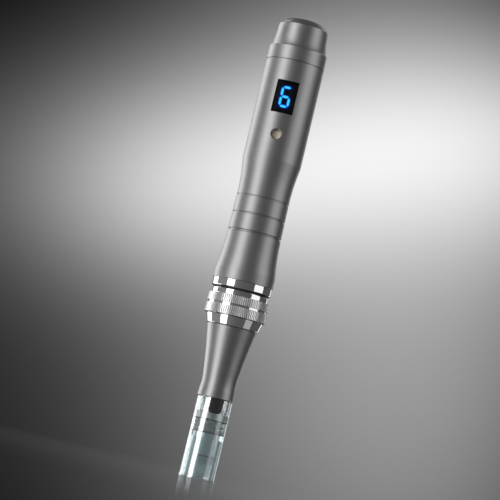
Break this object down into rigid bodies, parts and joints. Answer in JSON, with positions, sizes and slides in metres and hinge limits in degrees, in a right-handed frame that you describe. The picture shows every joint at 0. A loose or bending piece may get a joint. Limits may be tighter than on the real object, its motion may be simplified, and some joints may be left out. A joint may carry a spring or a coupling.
{
  "type": "microneedling pen",
  "caption": "Cordless microneedling pen with a knurled depth ring, lit digit display, power button and clear needle cartridge.",
  "frame": {"origin": "centre of the needle cartridge's flat open rim, on the pen's axis", "axes": "+Z along the pen's axis from the needle end to the tail cap, -Y out of the display and the power button"},
  "size_m": [0.0248, 0.025, 0.1904],
  "materials": {
    "barrel_alu": "bead blasted, satin, warm grey",
    "nose_alu": "bead blasted, satin, warm grey",
    "polished_rings": "polished",
    "knurl_steel": "fine knurl",
    "spring_steel": "smooth",
    "plated_steel": "zinc plated",
    "needle_steel": "ground",
    "clear_plastic": "clear, grey-teal tint",
    "white_plastic": "moulded",
    "cream_plastic": "moulded, satin",
    "black_plastic": "moulded",
    "smoked_lens": "gloss, smoked",
    "lit_blue": "lit digit",
    "unlit_bar": "unlit digit bar",
    "black_rubber": "moulded",
    "clear_silicone": "translucent",
    "foam_rubber": "soft",
    "frame_plastic": "moulded",
    "board_green": "circuit board",
    "cell_sleeve": "shrink sleeve",
    "wire_red": "wire insulation",
    "bronze": "sintered bronze",
    "contact_brass": "plated",
    "core_steel": "stacked laminations",
    "magnet": "ferrite"
  },
  "bodies": {
    "handle": {"barrel_shell": "barrel_alu", "tail_cap": "barrel_alu", "seam_ring": "black_rubber", "charging_socket": "black_plastic", "socket_pin": "contact_brass", "socket_nut": "plated_steel", "socket_leads": "wire_red", "display_lens": "smoked_lens", "display_module": "black_plastic", "lit_segments": "lit_blue", "dark_segment": "unlit_bar", "circuit_board": "board_green", "board_screws": "plated_steel", "tact_switch": "black_plastic", "button_guide": "barrel_alu", "battery_cell": "cell_sleeve", "battery_contacts": "contact_brass", "battery_cradle": "frame_plastic", "motor_leads": "wire_red", "motor_can": "plated_steel", "magnets": "magnet", "end_bell": "black_plastic", "motor_terminals": "contact_brass", "motor_screws": "plated_steel", "motor_damper": "foam_rubber", "drive_frame": "frame_plastic", "upper_bush": "bronze", "front_collar": "polished_rings", "guide_pins": "spring_steel", "snap_ring": "spring_steel", "friction_ring": "black_rubber"},
    "button": {"power_button": "cream_plastic", "switch_plunger": "white_plastic"},
    "depth_knob": {"depth_ring": "knurl_steel"},
    "nose": {"nose_cone": "nose_alu", "nose_collar": "polished_rings", "nose_sleeve": "spring_steel", "cartridge_mount": "polished_rings", "mount_o_ring": "black_rubber", "mount_key": "black_plastic", "lower_bush": "bronze"},
    "cartridge": {"cartridge_shell": "clear_plastic", "cartridge_socket": "clear_plastic", "return_bellows": "clear_silicone"},
    "needle_unit": {"needle_carrier": "clear_plastic", "needle_plate": "clear_plastic", "plate_seal": "black_rubber", "needles": "needle_steel"},
    "rotor": {"motor_shaft": "spring_steel", "armature": "core_steel", "barrel_cam": "white_plastic"},
    "drive_rod": {"yoke": "white_plastic", "follower_pin": "spring_steel", "push_rod": "spring_steel", "rod_tip": "white_plastic"}
  },
  "joints": [
    {"name": "button_press", "type": "slide", "parent": "handle", "child": "button", "axis": [0, 1, 0], "range_m": [0, 0.00035], "stiffness_N_per_m": 4000, "springref_m": -0.0001},
    {"name": "depth_turn", "type": "hinge", "parent": "handle", "child": "depth_knob", "pos_m": [0, 0, 0.071], "axis": [0, 0, 1], "range_deg": [0, 300]},
    {"name": "nose_slide", "type": "slide", "parent": "handle", "child": "nose", "axis": [0, 0, -1], "range_m": [0, 0.0025]},
    {"name": "cartridge_pull", "type": "slide", "parent": "nose", "child": "cartridge", "axis": [0, 0, -1], "range_m": [0, 0.02]},
    {"name": "needle_slide", "type": "slide", "parent": "cartridge", "child": "needle_unit", "axis": [0, 0, -1], "range_m": [0, 0.0025], "stiffness_N_per_m": 200, "springref_m": -0.002, "deforming": ["return_bellows"]},
    {"name": "motor_turn", "type": "hinge", "parent": "handle", "child": "rotor", "pos_m": [0, 0, 0.084], "axis": [0, 0, 1], "range_deg": [0, 180]},
    {"name": "rod_slide", "type": "slide", "parent": "handle", "child": "drive_rod", "axis": [0, 0, -1], "range_m": [0, 0.0025]}
  ],
  "couplings": [
    {"joint": "depth_turn", "follows": "nose_slide", "rad_per_m": 2094.4},
    {"joint": "motor_turn", "follows": "rod_slide", "rad_per_m": 1256.6},
    {"joint": "needle_slide", "follows": "rod_slide", "ratio": 1}
  ]
}
